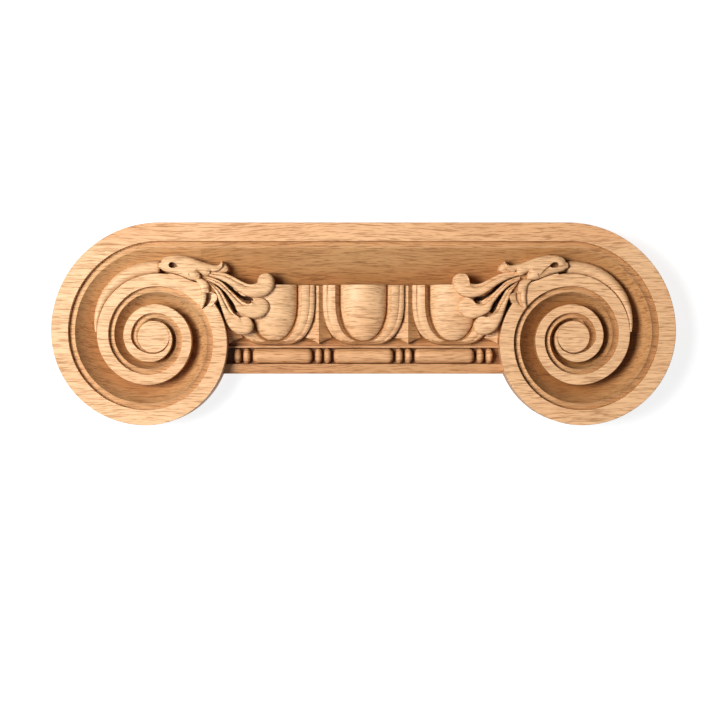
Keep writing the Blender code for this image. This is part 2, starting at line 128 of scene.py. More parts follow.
ARCS = spiral_arcs()


def on_arc(turned, quarter):
    """Point of an arc's circle after that many quarters from the top."""
    centre, radius = ARCS[quarter]
    angle = (1 - turned) * math.pi / 2
    return centre + radius * Vector((math.cos(angle), math.sin(angle)))


def on_spiral(turned):
    """Point of the band's outer edge after that many quarters from the top."""
    return on_arc(turned, min(int(turned), QUARTERS))


def steps_to_echinus():
    """Steps back from the top of the second turn to where it runs behind the echinus."""
    steps = 0
    while on_spiral(4 - steps / ARC_STEPS).y > EGG_TOP - OVERLAP:
        steps += 1
    return steps


def band_section(turned, width):
    """Distance from the outer edge and height of each line, as far as the channel."""
    band = min(BAND_WIDTH * BAND_TAPER ** turned, 0.8 * width)
    closing = min(max(turned - (QUARTERS - 3), 0.0), 1.0)
    band += max(width - END_GROOVE - band, 0.0) * closing * closing * (3 - 2 * closing)
    strip = min(STRIP_WIDTH * STRIP_TAPER ** turned, 0.9 * (width - band))
    fade = min(max(QUARTERS - 1 - turned, 0.0), 1.0)
    ease = min(EASE, 0.1 * width)
    step = STRIP_DEPTH * fade
    section = [(0.0, BAND_FACE - ease), (ease, BAND_FACE), (band - ease * 0.5, BAND_FACE),
               (band, BAND_FACE - min(ease * 0.5, 0.4 * step))]
    for share in STRIP_SHARES:
        across = band + strip * (STRIP_START + (1 - STRIP_START) * share)
        section.append((across, BAND_FACE - step * (1 - STRIP_RISE * share ** STRIP_CURVE)))
    return section


def canalis_slope():
    """Fall of the straight channel for each metre down."""
    across, height = band_section(0, TOP)[-1]
    return (height - BAND_FACE + CANALIS_DEPTH) / (TOP - EGG_TOP - across)


def channel_foot(turned):
    """Height of the channel's foot over the back."""
    depth = CHANNEL_DEPTH * CHANNEL_TAPER ** turned
    if turned < 1:
        across, height = band_section(0, TOP)[-1]
        start = BAND_FACE - height + canalis_slope() * (TOP - on_spiral(4).y - across)
        depth = start + (depth - start) * turned * turned * (3 - 2 * turned)
    left = 1 - (turned - (QUARTERS - 4)) / CHANNEL_END
    return BAND_FACE - depth * min(max(left, 0.0), 1.0)


def volute_column(bm, turned, outer, inner):
    """Section of the winding channel, from the band's outer edge to the next turn."""
    width = (inner - outer).length
    if width < 1e-5:
        return [bm.verts.new((outer.x, BAND_FACE - EASE, outer.y))] * ROWS
    section = band_section(turned, width)
    across, height = section[-1]
    foot = channel_foot(turned)
    hollow = CHANNEL_HOLLOW * min(turned, 1.0)
    for k in range(1, CHANNEL_ROWS + 1):
        t = k / CHANNEL_ROWS
        section.append((across + (width - across) * t,
                        height + (foot - height) * (t + 4 * hollow * t * (1 - t))))
    column = []
    for distance, level in section:
        point = outer + (inner - outer) * distance / width
        column.append(bm.verts.new((point.x, level, point.y)))
    return column


def canalis_column(bm, above, below, level):
    """Section of the straight channel, from the top edge down to a level."""
    drop = TOP - level
    section = band_section(0, TOP)
    across, height = section[-1]
    for k in range(1, CHANNEL_ROWS + 1):
        down = across + (drop - across) * k / CHANNEL_ROWS
        section.append((down, height - canalis_slope() * (down - across)))
    return [bm.verts.new((above + (below - above) * d / drop, h, TOP - d)) for d, h in section]


ROWS = len(band_section(0, TOP)) + CHANNEL_ROWS


def volutes():
    """Both volutes and the canalis as one closed skin."""
    bm = bmesh.new()
    glaze = bm.faces.layers.float.new("glaze")
    last, turn = QUARTERS * ARC_STEPS, 4 * ARC_STEPS
    lean = on_spiral(0).x - on_spiral(4).x
    middle = -1 - steps_to_echinus()
    columns = {}
    for step in range(middle + 1, 0):
        below = on_spiral(4 + step / ARC_STEPS)
        columns[step] = canalis_column(bm, below.x + lean, below.x, below.y)
    columns[middle] = canalis_column(bm, 0, 0, columns[middle + 1][-1].co.z)
    for step in range(last + 1):
        turned = step / ARC_STEPS
        inner = on_arc(turned, QUARTERS) if step >= last - turn else on_spiral(turned + 4)
        columns[step] = volute_column(bm, turned, on_spiral(turned), inner)
    for step in range(middle, last):
        here, there = columns[step], columns[step + 1]
        wound = min(max(step / ARC_STEPS, 0.0), 1.0)
        for row in range(ROWS - 1):
            # painted shade on the step rows, the canalis and the channels, darkest at the next
            # turn's wall
            inwards = (row - ROWS + 2) / CHANNEL_ROWS + 1
            channel_shade = CHANNEL_SHADE + WALL_SHADE * inwards ** 3
            ground = CANALIS_SHADE + wound * (channel_shade - CANALIS_SHADE)
            add_face(bm, here[row], there[row], there[row + 1], here[row + 1], glaze=glaze,
                     shade_amount=ground if inwards > 0 else STEP_SHADE.get(row, 0.0))
    # the walls up to the next turn carry painted shade of the default amount
    for step in range(turn + middle + 1, last):
        add_face(bm, columns[step][0], columns[step + 1][0],
                 columns[step + 1 - turn][-1], columns[step - turn][-1], glaze=glaze)

    # eye, and the wall round it
    centre, radius = ARCS[QUARTERS]
    hub = bm.verts.new((centre.x, BAND_FACE, centre.y))
    rim, lip = {}, {}
    for step in range(last - turn, last + 1):
        point = on_arc(step / ARC_STEPS, QUARTERS)
        inside = centre + (point - centre) * (1 - EASE / radius)
        rim[step] = bm.verts.new((point.x, BAND_FACE - EASE, point.y))
        lip[step] = bm.verts.new((inside.x, BAND_FACE, inside.y))
    for step in range(last - turn, last):
        add_face(bm, rim[step], rim[step + 1], columns[step + 1][-1], columns[step][-1])
        add_face(bm, lip[step], lip[step + 1], rim[step + 1], rim[step])
        add_face(bm, hub, lip[step], lip[step + 1])

    # outer side, straight foot and back
    outline = [columns[step][0] for step in range(middle, turn + middle + 2)]
    foot = [columns[middle + 1][-1], columns[middle][-1]]
    backs = [bm.verts.new((vert.co.x, 0, vert.co.z)) for vert in outline]
    corner = bm.verts.new((0, 0, foot[1].co.z))
    for k in range(len(outline) - 2):
        add_face(bm, outline[k], outline[k + 1], backs[k + 1], backs[k])
    add_face(bm, outline[-2], outline[-1], foot[0], backs[-1], backs[-2])
    add_face(bm, foot[0], foot[1], corner, backs[-1])
    add_face(bm, *backs, corner)
    bmesh.ops.remove_doubles(bm, verts=bm.verts, dist=1e-6)
    geometry = bm.verts[:] + bm.edges[:] + bm.faces[:]
    bmesh.ops.mirror(bm, geom=geometry, axis="X", merge_dist=1e-6)

    # painted shade, laid a little stronger towards the right end than towards the left
    for face in bm.faces:
        x = face.calc_center_median().x
        beyond = math.copysign(max(abs(x) - EVEN_SHADE, 0.0), x)
        face[glaze] *= min(max(1 + SHADE_DRIFT * beyond, LIGHTEST_SHADE), DARKEST_SHADE)
    return solid("volutes", bm)


ribbon = volutes()


# Board of the echinus: flat ground, a hollow cove under the eggs, a fillet, the sunk bed of
# the beads and the lower fillet, worked along the oak board as one moulding. It is drawn as
# one profile and run across. Its back is flat, to be glued or screwed to the pilaster.
ROOT = 0.0060               # level inside the board where the carved forms begin
GROUND_FACE = 0.0125
COVE_TOP, COVE_FACE, COVE_STEPS = -0.0062, 0.0092, 6
FILLET_TOP, FILLET_FACE = -0.0107, 0.0122
ASTRAGAL_TOP, ASTRAGAL_FOOT, ASTRAGAL_FACE = -0.0114, -0.0193, 0.0075
BOARD_FOOT, LOWER_FACE = -0.0240, 0.0125
LOWER_LEAN = 0.0008         # how far the lower fillet leans back at its foot
TOP_GAP = 0.0008            # how far the ground ends under the cut tops of the eggs
# painted shade: near black on the ground between the forms, brown in the cove under them and in
# the bed of the beads; the lower fillet is only made a little darker
GROUND_SHADE, COVE_SHADE, COVE_TOP_SHADE, BED_SHADE, LOWER_DARKENING = 6.0, 1.0, 2.1, 2.7, 0.5


def loft(name, rings):
    """Closed solid through rings of equally many points, capped at both ends."""
    bm = bmesh.new()
    bm.faces.layers.float.new("glaze")
    loops = [[bm.verts.new(point) for point in ring] for ring in rings]
    for here, there in zip(loops, loops[1:]):
        count = len(here)
        for k in range(count):
            add_face(bm, here[k], here[(k + 1) % count], there[(k + 1) % count], there[k])
    bm.faces.new(loops[0])
    bm.faces.new(loops[-1])
    return solid(name, bm)


def paint_shade(obj, test, value):
    """Paint shade onto the faces that pass a test of middle and normal."""
    glaze = obj.data.attributes["glaze"].data
    for face in obj.data.polygons:
        if test(face.center, face.normal):
            glaze[face.index].value = value
    return obj


def board():
    reach = on_spiral(4 - steps_to_echinus() / ARC_STEPS).x + 0.2 * BAND_WIDTH
    cut = EGG_TOP - TOP_GAP
    profile = [(0, cut), (GROUND_FACE, cut), (GROUND_FACE, COVE_TOP)]
    for k in range(1, COVE_STEPS + 1):
        angle = math.pi / 2 * k / COVE_STEPS
        profile.append((COVE_FACE + (GROUND_FACE - COVE_FACE) * (1 - math.sin(angle)),
                        COVE_TOP + (FILLET_TOP - COVE_TOP) * (1 - math.cos(angle))))
    profile += [(FILLET_FACE, FILLET_TOP), (FILLET_FACE, ASTRAGAL_TOP),
                (ASTRAGAL_FACE, ASTRAGAL_TOP), (ASTRAGAL_FACE, ASTRAGAL_FOOT),
                (LOWER_FACE, ASTRAGAL_FOOT), (LOWER_FACE - LOWER_LEAN, BOARD_FOOT + EASE),
                (LOWER_FACE - LOWER_LEAN - EASE, BOARD_FOOT), (0, BOARD_FOOT)]
    obj = loft("board", [[(x, height, z) for height, z in profile] for x in (-reach, reach)])
    cove_middle = COVE_TOP * 0.5 + FILLET_TOP * 0.5
    # paint shade on the ground, the cove and the bead bed, and darken the lower fillet
    paint_shade(obj, lambda at, normal: normal.y < -0.9 and at.z > COVE_TOP, GROUND_SHADE)
    paint_shade(obj, lambda at, normal: FILLET_TOP < at.z < COVE_TOP, COVE_SHADE)
    paint_shade(obj, lambda at, normal: cove_middle < at.z < COVE_TOP, COVE_TOP_SHADE)
    paint_shade(obj, lambda at, normal: normal.y < -0.5 and at.z < ASTRAGAL_FOOT, LOWER_DARKENING)
    return paint_shade(obj, lambda at, normal: ASTRAGAL_FOOT <= at.z <= ASTRAGAL_TOP, BED_SHADE)


forms = [board()]


# Echinus: three eggs, each in its shell, with four darts between and beside them, carved in
# the board. One of each is drawn, and the row nodes repeat it across. The shell is a slope
# up from the egg, a broad rib, a cut line and a narrow rib; the dart is an arrow with a ridge.
EGGS, EGG_PITCH = 3, 0.0432
EGG_FOOT, EGG_HALF_WIDTH = -0.0081, 0.0112
EGG_STRAIGHT, EGG_SIDE = 0.0080, 0.25           # straight side, and its share of the outline
EGG_ROUND = 1 / 1.1                             # 1 would give an ellipse
EGG_CREST, EGG_FALL, EGG_EDGE = 0.0205, 0.0030, 0.0140
EGG_DOME = 0.7                                  # how its swell follows its width
# the last is painted shade on the egg's steep sides along its edge
EGG_LEVELS, EGG_FACETS, EGG_EDGE_SHADE = 40, 36, 1.8
SHELL_WIDTH, SHELL_FOOT = 0.0084, -0.0098
SHELL_CREST, SHELL_FALL, SHELL_LIP = 0.0182, 0.0040, 0.0024
# the last is painted shade on the shell's low faces where it meets the egg
SHELL_STEPS, LIP_STEPS, SHELL_SHADE = 44, 8, 1.6
SHELL_ROOT = 0.0006                             # how far the shell reaches under the egg
SHELL_NARROWING = 2.2                           # how late it narrows towards its foot
LIP_HOLLOW = 0.25
# distances from the egg, with heights over the shell's crest
BROAD_RIB = ((0.0040, 0.0001), (0.0052, -0.0002), (0.0058, -0.0005))
CUT_LINE, CUT_LINE_TOP, CUT_LINE_DEPTH = (0.0060, 0.0063), 0.0006, 0.0007
NARROW_RIB = ((0.0065, -0.0006), (0.0073, -0.0006), (0.0080, -0.0010), (SHELL_WIDTH, -0.0014))
DART_TIP, DART_BARB, DART_RIDGE, DART_FALL = -0.0097, -0.0066, 0.0165, 0.0015
DART_NECK, DART_SPREAD, DART_SLOPE = 0.0025, 0.0064, 0.0026
DART_SECTION = ((-1, 0), (-0.76, 0.18), (-0.5, 0.42), (0, 1), (0.5, 0.42), (1, 0))
DART_STEPS, BARB_STEPS = 16, 10
DART_SPACING, DART_FLARE, BARB_CURVE = 1.5, 4, 1.6
# painted shade on the dart's faces turned to the right, away from the key, and a painted shadow on
# its steep sides and along its left edge, below the shell
DART_RIGHT_SHADE, DART_SIDE_SHADOW = 0.9, 2.2


def add_node(tree, kind, inputs, **settings):
    """Add a node; each input takes a value or another node's output."""
    node = tree.nodes.new(kind)
    for key, value in settings.items():
        setattr(node, key, value)
    for socket, source in inputs.items():
        if isinstance(source, bpy.types.NodeSocket):
            tree.links.new(source, node.inputs[socket])
        else:
            node.inputs[socket].default_value = source
    return node


def row_nodes():
    """Node group that sets a unit out across the capital, about its middle."""
    tree = bpy.data.node_groups.new("row", "GeometryNodeTree")
    for name, kind in (("Unit", "NodeSocketObject"), ("Count", "NodeSocketInt"),
                       ("Pitch", "NodeSocketFloat"), ("Material", "NodeSocketMaterial")):
        tree.interface.new_socket(name, in_out="INPUT", socket_type=kind)
    tree.interface.new_socket("Geometry", in_out="OUTPUT", socket_type="NodeSocketGeometry")
    given = add_node(tree, "NodeGroupInput", {}).outputs
    gaps = add_node(tree, "ShaderNodeMath", {0: given["Count"], 1: 1.0}, operation="SUBTRACT")
    half = add_node(tree, "ShaderNodeMath", {0: gaps.outputs[0], 1: -0.5}, operation="MULTIPLY")
    first = add_node(tree, "ShaderNodeMath", {0: half.outputs[0], 1: given["Pitch"]},
                     operation="MULTIPLY")
    start = add_node(tree, "ShaderNodeCombineXYZ", {"X": first.outputs[0]})
    offset = add_node(tree, "ShaderNodeCombineXYZ", {"X": given["Pitch"]})
    line = add_node(tree, "GeometryNodeMeshLine", {
        "Count": given["Count"], "Start Location": start.outputs[0], "Offset": offset.outputs[0]})
    unit = add_node(tree, "GeometryNodeObjectInfo", {"Object": given["Unit"]})
    units = add_node(tree, "GeometryNodeInstanceOnPoints", {
        "Points": line.outputs[0], "Instance": unit.outputs["Geometry"]})
    real = add_node(tree, "GeometryNodeRealizeInstances", {"Geometry": units.outputs[0]})
    painted = add_node(tree, "GeometryNodeSetMaterial", {
        "Geometry": real.outputs[0], "Material": given["Material"]})
    add_node(tree, "NodeGroupOutput", {0: painted.outputs[0]})
    return tree


ROW_NODES = row_nodes()


def row_of(unit, count, pitch, material):
    """Realized row of a unit, as a plain mesh object."""
    obj = bpy.data.objects.new(unit.name + "_row", bpy.data.meshes.new("empty"))
    bpy.context.scene.collection.objects.link(obj)
    modifier = obj.modifiers.new("row", "NODES")
    modifier.node_group = ROW_NODES
    values = {"Unit": unit, "Count": count, "Pitch": pitch, "Material": material}
    for item in ROW_NODES.interface.items_tree:
        if item.in_out == "INPUT":
            modifier[item.identifier] = values[item.name]
    bpy.context.view_layer.update()
    shown = obj.evaluated_get(bpy.context.evaluated_depsgraph_get())
    mesh = bpy.data.meshes.new_from_object(shown)
    obj.modifiers.remove(modifier)
    obj.data = mesh
    bpy.data.objects.remove(unit)
    return obj


def egg_edge(share):
    """Half width and level of an egg's outline, from its cut at 0 to its foot at 1."""
    if share < EGG_SIDE:
        return EGG_HALF_WIDTH, EGG_TOP - EGG_STRAIGHT * share / EGG_SIDE
    angle = (share - EGG_SIDE) / (1 - EGG_SIDE) * math.pi / 2
    drop = EGG_TOP - EGG_STRAIGHT - EGG_FOOT
    return (EGG_HALF_WIDTH * max(math.cos(angle), 0.0) ** EGG_ROUND,
            EGG_TOP - EGG_STRAIGHT - drop * math.sin(angle) ** EGG_ROUND)


def egg():
    rings = []
    for step in range(EGG_LEVELS):
        half, level = egg_edge(step / EGG_LEVELS)
        fall = (EGG_TOP - level) / (EGG_TOP - EGG_FOOT)
        crest = EGG_CREST - EGG_FALL * fall ** 2
        rise = (crest - EGG_EDGE) * (half / EGG_HALF_WIDTH) ** EGG_DOME
        ring = [(-half, ROOT, level)]
        for k in range(EGG_FACETS + 1):
            angle = math.pi * k / EGG_FACETS
            ring.append((-half * math.cos(angle), EGG_EDGE + rise * math.sin(angle), level))
        ring.append((half, ROOT, level))
        rings.append(ring)
    rings.append([(0, ROOT, EGG_FOOT)] + [(0, EGG_EDGE, EGG_FOOT)] * (EGG_FACETS + 2))
    # painted shade on the steep sides along the egg's edge
    return paint_shade(loft("egg", rings), lambda at, normal: normal.y > -0.42, EGG_EDGE_SHADE)


def shell():
    shares = [k / SHELL_STEPS for k in range(SHELL_STEPS + 1)]
    path = [(-1, share) for share in shares] + [(1, share) for share in shares[-2::-1]]
    edge = EGG_EDGE - 0.0004
    rings = []
    for sign, share in path:
        half, level = egg_edge(share)
        ahead, behind = egg_edge(min(share + 0.01, 1)), egg_edge(max(share - 0.01, 0))
        normal = Vector((behind[1] - ahead[1], ahead[0] - behind[0])).normalized()
        if share == 1:
            normal = Vector((0, -1))
        # the shell narrows under the egg, where the cove leaves it less room
        room = (level - SHELL_FOOT) / max(-normal.y, 1e-6)
        under = EGG_FOOT - SHELL_FOOT
        reach = min(SHELL_WIDTH - (SHELL_WIDTH - under) * abs(normal.y) ** SHELL_NARROWING, room)
        squeeze = reach / SHELL_WIDTH
        fall = (EGG_TOP - level) / (EGG_TOP - EGG_FOOT)
        crest = SHELL_CREST - SHELL_FALL * fall ** 2
        line = CUT_LINE_TOP + CUT_LINE_DEPTH * max(1 - 1.6 * fall, 0.0)
        section = [(-SHELL_ROOT, ROOT), (-SHELL_ROOT, edge), (0.0, edge)]
        for k in range(1, LIP_STEPS + 1):
            t = k / LIP_STEPS
            climb = (1 - LIP_HOLLOW) * t + LIP_HOLLOW * t ** 3
            section.append((SHELL_LIP * t, edge + (crest - edge) * climb))
        section += [(distance, crest + over) for distance, over in BROAD_RIB]
        section += [(distance, crest - line) for distance in CUT_LINE]
        section += [(distance, crest + over) for distance, over in NARROW_RIB]
        ring = []
        for distance, height in section + [(SHELL_WIDTH, ROOT)]:
            across = distance * squeeze if distance > 0 else distance
            ring.append((sign * (half + normal.x * across), height,
                         min(level + normal.y * across, EGG_TOP - 0.0002)))
        rings.append(ring)
    # painted shade where the shell meets the egg
    return paint_shade(loft("shell", rings), lambda at, normal: -at.y < EGG_EDGE + 0.0005,
                   SHELL_SHADE)


def dart():
    top = EGG_TOP - 0.0004
    root = ROOT - 0.0002
    rings = []

    def ring(level, half, ridge):
        edge = ridge - min(DART_SLOPE, half * 0.8)
        front = [(half * share, edge + rise * (ridge - edge), level)
                 for share, rise in DART_SECTION]
        return [(-half, root, level)] + front + [(half, root, level)]

    for k in range(DART_STEPS + 1):
        level = top + (DART_BARB - top) * (1 - (1 - k / DART_STEPS) ** DART_SPACING)
        down = (top - level) / (top - DART_BARB)
        half = DART_NECK + (DART_SPREAD - DART_NECK) * down ** DART_FLARE
        rings.append(ring(level, half, DART_RIDGE - DART_FALL * down))
    for k in range(1, BARB_STEPS + 1):
        share = k / BARB_STEPS * 0.97
        level = DART_BARB + (DART_TIP - DART_BARB) * share
        rings.append(ring(level, DART_SPREAD * (1 - share) ** BARB_CURVE,
                          DART_RIDGE - DART_FALL - 0.001 * share))
    obj = loft("dart", rings)
    # painted shade on the right-facing faces, then a painted shadow on the steep sides and the
    # left edge
    paint_shade(obj, lambda at, normal: normal.x > 0.1, DART_RIGHT_SHADE)
    return paint_shade(obj, lambda at, normal: normal.y > -0.3 or (at.x < -0.0019 and at.z > 0),
                   DART_SIDE_SHADOW)


oak = bpy.data.materials.new("oak, sanded")
forms += [row_of(egg(), EGGS, EGG_PITCH, oak), row_of(shell(), EGGS, EGG_PITCH, oak),
          row_of(dart(), EGGS + 1, EGG_PITCH, oak)]


# Bead and reel: three long beads with rounded ends and four pairs of narrow reels, carved
# round in the sunk bed under the echinus, as if they were turned about one level axis.
BEADS, BEAD_PITCH = 3, 0.0392
BEAD_RADIUS, BEAD_STAND = 0.0038, 0.0096
BEAD_LENGTH, BEAD_END = 0.0290, 0.0027
REEL_LENGTH, REEL_APART = 0.0036, 0.00444
# the last is painted shade on the beads' ends and on their tops and bottoms
END_STEPS, BEAD_SIDES, BEAD_SHADE = 8, 28, 1.6


def beads(name, pieces):
    """Closed beads on the bed's axis; each piece is its middle, length and rounded end."""
    axis = (ASTRAGAL_TOP + ASTRAGAL_FOOT) / 2
    circle = [math.tau * k / BEAD_SIDES for k in range(BEAD_SIDES)]
    bm = bmesh.new()
    for middle, length, end in pieces:
        stations = []
        for k in range(END_STEPS + 1):
            angle = math.pi / 2 * k / END_STEPS
            stations.append((end * (1 - math.cos(angle)) - length / 2,
                             BEAD_RADIUS * (0.3 + 0.7 * math.sin(angle))))
        stations += [(-x, radius) for x, radius in reversed(stations)]
        if length <= 2 * end:
            del stations[END_STEPS + 1]
        rings = [[(middle + x, BEAD_STAND + radius * math.sin(angle),
                   axis + radius * math.cos(angle)) for angle in circle] for x, radius in stations]
        # painted shade on the ends and on the top and bottom of each bead and reel
        piece = paint_shade(loft(name, rings),
                        lambda at, normal: max(abs(normal.x), abs(normal.z)) > 0.9, BEAD_SHADE)
        bm.from_mesh(piece.data)
        bpy.data.objects.remove(piece)
    mesh = bpy.data.meshes.new(name)
    bm.to_mesh(mesh)
    bm.free()
    obj = bpy.data.objects.new(name, mesh)
    bpy.context.scene.collection.objects.link(obj)
    return obj


reel_pair = [(side * REEL_APART / 2, REEL_LENGTH, REEL_LENGTH / 2) for side in (-1, 1)]
forms += [row_of(beads("bead", [(0, BEAD_LENGTH, BEAD_END)]), BEADS, BEAD_PITCH, oak),
          row_of(beads("reels", reel_pair), BEADS + 1, BEAD_PITCH, oak)]


# Spray: a stem lying along the second turn, a husk with its leaves, and three tendrils that
# end in knobs, all carved in the board, once at the right and mirrored at the left. Outlines
# are in millimetres from the capital's middle, and heights in millimetres over the bands.
LIMB_FACETS, STRIP_FACETS = 18, 9
STRIP_SINK, STRIP_REACH = 1.5, 0.72     # depth of a tendril's strip, and its share of the limb
STRIP_SWELL = 0.25                      # rise of the strip for its width
KNOB_STEPS, KNOB_ROUND = 10, 0.45
STEM_TIP = 4.98                         # quarter turns along the spiral; it is a quarter long
STEM_HALF_WIDTH = 0.0031
STEM_END = 0.965                        # share of its length where it rounds off at the husk
SMOOTHINGS = 10
RIM_LOOPS = (0.07, 0.22, 0.45)          # distances of a leaf's loops of points inside its rim
LEAF_SPACING = 0.45
# painted shade on the sunk calyx behind the leaves
CALYX_SHADE = 1.4


def between(before, here, there, after, t):
    """Point of a smooth curve, the share t of the way between the middle two stations."""
    return [0.5 * (2 * b + (c - a) * t + (2 * a - 5 * b + 4 * c - d) * t * t
                   + (3 * b - a - 3 * c + d) * t ** 3)
            for a, b, c, d in zip(before, here, there, after)]


def smooth_path(stations, steps):
    """Smooth curve through stations of equally many numbers."""
    count = len(stations)
    curve = []
    for k in range(count - 1):
        before, here = stations[max(k - 1, 0)], stations[k]
        there, after = stations[k + 1], stations[min(k + 2, count - 1)]
        for step in range(steps):
            t = step / steps
            curve.append(between(before, here, there, after, t))
    curve.append(list(stations[-1]))
    return curve


def swell(share, left, right, crest, power):
    """Height of a rounded form between two edges."""
    base = left + (right - left) * share
    return base + (crest - base) * max(1 - abs(2 * share - 1) ** power, 0.0) ** (1 / power)


def limb(name, stations, root, strip=0.0, cap=False, power=2.6, steps=6):
    """Closed limb through stations of outline points and heights over the band.

    A station is x and z of one edge, x and z of the other, crest and edge height. A
    strip of the given width lies along the first edge, as far as the limb's knob.
    """
    curve = smooth_path(stations, steps)
    rings = []

    def ring(x0, z0, x1, z1, crest, edge, strip_here):
        width = math.hypot(x1 - x0, z1 - z0)
        cut = min(strip_here / max(width, 1e-6), 0.4)
        section = []
        if strip:
            valley = crest - STRIP_SINK * min(strip_here / strip, 1.0)
            for k in range(STRIP_FACETS):
                share = (1 - math.cos(math.pi * k / STRIP_FACETS)) / 2
                ledge = max(edge, valley) + STRIP_SWELL * strip_here
                section.append((cut * share, swell(share, edge, valley, ledge, power)))
        else:
            valley = edge
        for k in range(LIMB_FACETS + 1):
            share = (1 - math.cos(math.pi * k / LIMB_FACETS)) / 2
            section.append((cut + (1 - cut) * share, swell(share, valley, edge, crest, power)))
        points = [(0.0, None)] + section + [(1.0, None)]
        return [((x0 + (x1 - x0) * share) / 1000, root if height is None
                 else BAND_FACE + height / 1000, (z0 + (z1 - z0) * share) / 1000)
                for share, height in points]

    count = len(curve)
    for k, (x0, z0, x1, z1, crest, edge) in enumerate(curve):
        left = max(1 - k / (STRIP_REACH * (count - 1)), 0.0) if strip else 0.0
        rings.append(ring(x0, z0, x1, z1, crest, edge, strip * min(left * 3, 1.0)))
    if cap:
        x0, z0, x1, z1, crest, edge = curve[-1]
        before = curve[-2]
        onward = Vector((x0 + x1 - before[0] - before[2], z0 + z1 - before[1] - before[3]))
        across = Vector((x1 - x0, z1 - z0)) / 2
        normal = Vector((-across.y, across.x))
        if normal.dot(onward) < 0:
            normal = -normal
        middle = Vector((x0 + x1, z0 + z1)) / 2
        for k in range(1, KNOB_STEPS + 1):
            angle = math.pi / 2 * k / (KNOB_STEPS + 0.4)
            place = middle + normal * math.sin(angle)
            spread = across * math.cos(angle)
            top = edge + (crest - edge) * math.cos(angle) ** KNOB_ROUND
            rings.append(ring(place.x - spread.x, place.y - spread.y, place.x + spread.x,
                              place.y + spread.y, top, edge, 0.0))
    return loft(name, rings)


def stem(root):
    """Tapering stalk in the outer channel, lying along the second turn."""
    stations = []
    for share in [k / 12 for k in range(12)] + [STEM_END, 0.985, 0.995, 1.0]:
        point = on_spiral(STEM_TIP - share)
        outward = (point - ARCS[4][0]).normalized()
        rounded = (max(share - STEM_END, 0.0) / (1 - STEM_END)) ** 3
        half = STEM_HALF_WIDTH * (0.15 + 0.85 * math.sin(math.pi / 2 * min(share * 1.25, 1.0)))
        near = (point + outward * half * 0.25 * rounded) * 1000
        far = (point + outward * half * (2 - 0.25 * rounded)) * 1000
        stations.append((far.x, far.y, near.x, near.y,
                         -0.2 - 1.1 * rounded, -0.2 - 1000 * half))
    return limb("stem", stations, root, power=2.0)


TENDRILS = [
    [(73.5, 24.8, 74.0, 23.1, 1.6, 0.4), (67.9, 24.6, 69.1, 21.3, 2.6, 1.0),
     (64.0, 23.3, 65.3, 19.4, 3.0, 1.4), (59.3, 20.9, 61.4, 16.6, 3.3, 1.7),
     (55.7, 19.3, 57.6, 14.1, 3.5, 1.9), (52.6, 19.1, 54.0, 12.9, 3.7, 2.1),
     (51.3, 19.5, 50.9, 12.7, 3.8, 2.2), (51.0, 19.8, 47.7, 13.2, 3.85, 2.2),
     (50.85, 20.0, 44.7, 15.1, 3.9, 2.2), (50.75, 20.2, 43.0, 17.9, 3.9, 2.2),
     (50.7, 20.4, 42.8, 20.4, 3.9, 2.2)],
    [(75.1, 22.7, 74.9, 21.0, 1.0, -0.4), (68.9, 20.6, 70.0, 18.4, 1.9, 0.4),
     (64.0, 16.2, 66.2, 14.9, 2.3, 0.8), (61.2, 13.6, 64.1, 12.3, 2.5, 1.0),
     (58.8, 11.4, 62.1, 9.5, 2.7, 1.2), (56.8, 10.1, 60.7, 6.2, 2.9, 1.4),
     (55.0, 9.7, 57.9, 4.3, 3.1, 1.5), (53.6, 10.1, 54.0, 2.8, 3.3, 1.6),
     (53.3, 10.25, 50.8, 2.6, 3.4, 1.7), (53.15, 10.4, 48.2, 3.5, 3.5, 1.7),
     (53.05, 10.6, 45.9, 5.7, 3.5, 1.7)],
    [(74.2, 20.6, 73.9, 19.6, 0.4, -1.0), (72.2, 19.0, 72.7, 17.7, 0.9, -0.6),
     (68.9, 16.5, 71.0, 15.0, 1.5, 0.0), (67.0, 13.6, 69.6, 11.5, 1.9, 0.4),
     (65.1, 10.1, 68.3, 7.8, 2.2, 0.6), (63.6, 7.1, 67.2, 4.5, 2.5, 0.9),
     (61.9, 4.8, 65.9, 1.0, 2.7, 1.1), (60.1, 3.5, 64.0, -2.3, 2.9, 1.3),
     (59.6, 3.25, 61.2, -4.5, 3.0, 1.4), (59.45, 3.15, 58.5, -5.3, 3.1, 1.4),
     (59.3, 3.0, 55.4, -5.0, 3.1, 1.4)],
]
HUSK = [(98.2, 28.6), (97.9, 29.2), (97.3, 29.4), (96.9, 30.2), (96.1, 31.3), (94.8, 32.1),
        (92.2, 32.8), (88.1, 32.9), (83.3, 31.9), (79.0, 30.4), (76.1, 29.3), (73.5, 28.6),
        (71.0, 28.1), (69.2, 28.5), (68.4, 29.3), (67.9, 30.1), (67.9, 30.1), (67.3, 29.2),
        (67.2, 27.9), (68.0, 26.4), (69.8, 25.3),
        (72.0, 24.7), (73.3, 25.4), (73.3, 25.4), (73.4, 24.3), (74.0, 23.3), (75.6, 23.1),
        (77.2, 23.7), (79.1, 25.0), (79.1, 25.0), (78.4, 23.7), (78.3, 22.2), (79.2, 21.2),
        (81.1, 20.9), (83.5, 21.3), (85.7, 22.2), (90.5, 24.0), (94.6, 25.0), (96.4, 25.7),
        (97.2, 26.4), (98.0, 26.7), (98.3, 27.6)]
HANGING_LEAF = [(81.4, 21.6), (79.0, 18.7), (78.2, 15.3), (78.0, 12.0), (78.3, 8.6), (77.8, 7.2),
                (76.8, 7.9), (75.4, 11.5), (75.1, 13.4), (75.5, 14.7), (75.5, 14.7), (74.2, 15.0),
                (74.0, 17.2), (74.6, 19.4), (76.1, 20.9), (78.0, 21.8), (79.9, 22.0)]
